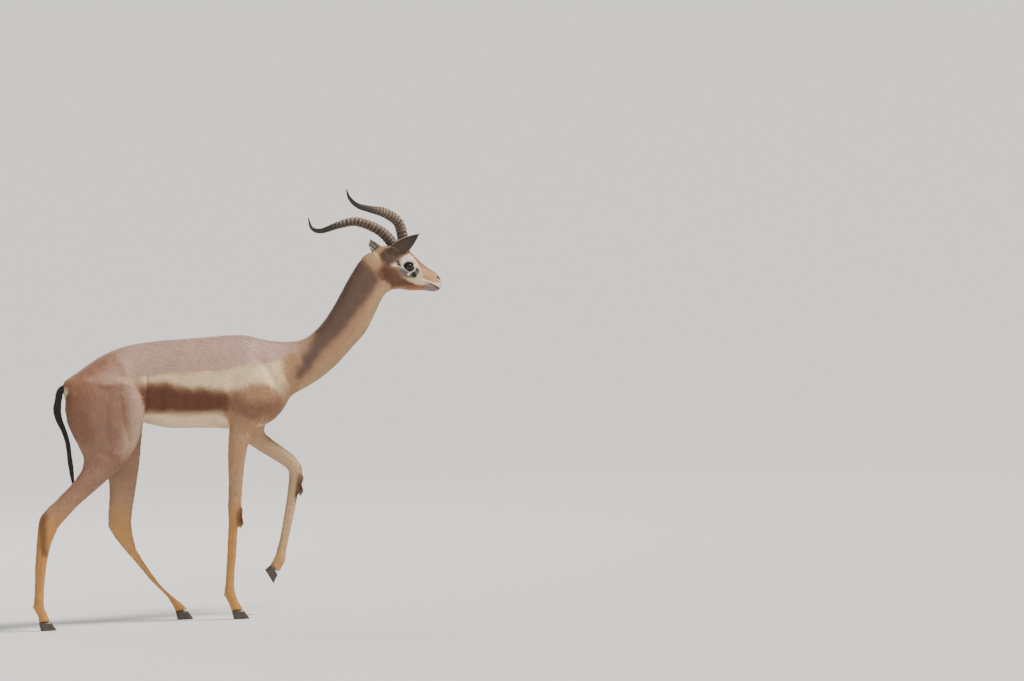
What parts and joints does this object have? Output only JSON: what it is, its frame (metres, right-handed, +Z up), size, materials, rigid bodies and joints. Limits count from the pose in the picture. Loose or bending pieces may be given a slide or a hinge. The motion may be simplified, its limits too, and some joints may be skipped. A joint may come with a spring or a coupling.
{
  "type": "gerenuk",
  "caption": "Life-size male gerenuk walking, with a long neck, ringed lyre-shaped horns, thin legs and a raised forefoot.",
  "frame": {"origin": "on the floor, under the middle of the animal's whole length and breadth", "axes": "+X the way the animal walks, +Y its left side, +Z up"},
  "size_m": [1.5451, 0.3072, 1.5231],
  "materials": {
    "coat": "short smooth fur, red-brown above, fawn on the flanks and white below",
    "black_hair": "long black hair",
    "horn": "dry ringed horn, smooth and darker at the tip",
    "hoof": "dense dark horn, slightly worn",
    "eye": "wet and dark"
  },
  "bodies": {
    "root": {"ear_left": "coat", "ear_right": "coat", "eye_left": "eye", "eye_right": "eye", "fore_left_cannon": "coat", "fore_left_forearm": "coat", "fore_left_hoof_left": "hoof", "fore_left_hoof_right": "hoof", "fore_left_pastern": "coat", "fore_left_shoulder": "coat", "fore_right_cannon": "coat", "fore_right_forearm": "coat", "fore_right_hoof_left": "hoof", "fore_right_hoof_right": "hoof", "fore_right_pastern": "coat", "fore_right_shoulder": "coat", "head": "coat", "hind_left_cannon": "coat", "hind_left_gaskin": "coat", "hind_left_hoof_left": "hoof", "hind_left_hoof_right": "hoof", "hind_left_pastern": "coat", "hind_left_thigh": "coat", "hind_right_cannon": "coat", "hind_right_gaskin": "coat", "hind_right_hoof_left": "hoof", "hind_right_hoof_right": "hoof", "hind_right_pastern": "coat", "hind_right_thigh": "coat", "horn_left": "horn", "horn_right": "horn", "neck": "coat", "tail": "black_hair", "torso": "coat"}
  },
  "joints": []
}
